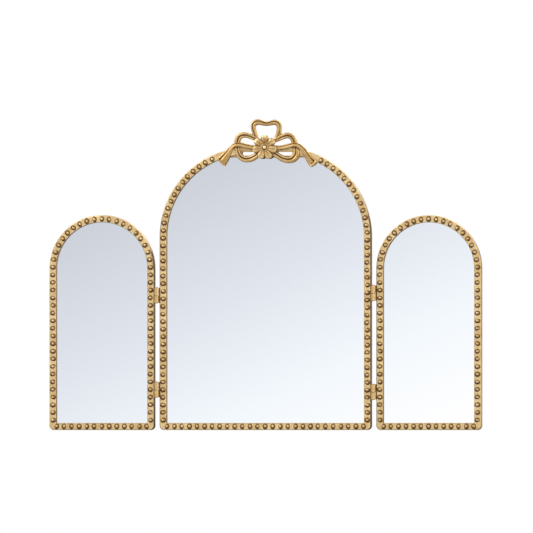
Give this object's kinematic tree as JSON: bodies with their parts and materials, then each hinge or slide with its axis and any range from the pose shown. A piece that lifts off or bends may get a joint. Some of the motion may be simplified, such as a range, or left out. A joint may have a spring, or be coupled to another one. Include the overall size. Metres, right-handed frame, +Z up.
{
  "type": "folding triple mirror",
  "caption": "Folding triptych table mirror: arched centre panel, arched side wings on butt hinges, beaded gilt frames, ribbon-bow crest with a flower.",
  "frame": {"origin": "middle of the centre frame's underside, on the surface the mirror stands on", "axes": "+Z up, +X towards the right wing as seen from the front, the mirrors face -Y"},
  "size_m": [0.7682, 0.0299, 0.5478],
  "materials": {
    "gilded_frame": "antique gold leaf over cast resin",
    "gilded_crest": "antique gold leaf over cast resin",
    "mirror_glass": "silvered float glass",
    "back_board": "bare fibreboard",
    "hinge_brass": "satin, slightly tarnished",
    "zinc_steel": "zinc plated"
  },
  "bodies": {
    "centre_panel": {"centre_back_board": "back_board", "centre_board_clips": "zinc_steel", "centre_clip_screws": "zinc_steel", "centre_frame": "gilded_frame", "centre_mirror_glass": "mirror_glass", "crest_bow": "gilded_crest", "crest_rosette": "gilded_crest", "crest_rosette_pin": "gilded_crest", "crest_screws": "zinc_steel", "left_lower_hinge_frame_leaf": "hinge_brass", "left_lower_hinge_frame_screws": "hinge_brass", "left_lower_hinge_pin": "hinge_brass", "left_upper_hinge_frame_leaf": "hinge_brass", "left_upper_hinge_frame_screws": "hinge_brass", "left_upper_hinge_pin": "hinge_brass", "right_lower_hinge_frame_leaf": "hinge_brass", "right_lower_hinge_frame_screws": "hinge_brass", "right_lower_hinge_pin": "hinge_brass", "right_upper_hinge_frame_leaf": "hinge_brass", "right_upper_hinge_frame_screws": "hinge_brass", "right_upper_hinge_pin": "hinge_brass"},
    "left_wing": {"left_lower_hinge_wing_leaf": "hinge_brass", "left_lower_hinge_wing_screws": "hinge_brass", "left_upper_hinge_wing_leaf": "hinge_brass", "left_upper_hinge_wing_screws": "hinge_brass", "left_wing_back_board": "back_board", "left_wing_board_clips": "zinc_steel", "left_wing_clip_screws": "zinc_steel", "left_wing_frame": "gilded_frame", "left_wing_mirror_glass": "mirror_glass"},
    "right_wing": {"right_lower_hinge_wing_leaf": "hinge_brass", "right_lower_hinge_wing_screws": "hinge_brass", "right_upper_hinge_wing_leaf": "hinge_brass", "right_upper_hinge_wing_screws": "hinge_brass", "right_wing_back_board": "back_board", "right_wing_board_clips": "zinc_steel", "right_wing_clip_screws": "zinc_steel", "right_wing_frame": "gilded_frame", "right_wing_mirror_glass": "mirror_glass"}
  },
  "joints": [
    {"name": "left_wing_fold", "type": "hinge", "parent": "centre_panel", "child": "left_wing", "pos_m": [-0.1928, -0.01175, 0.154], "axis": [0, 0, 1], "range_deg": [-20, 180]},
    {"name": "right_wing_fold", "type": "hinge", "parent": "centre_panel", "child": "right_wing", "pos_m": [0.1928, -0.01175, 0.154], "axis": [0, 0, -1], "range_deg": [-20, 180]}
  ]
}
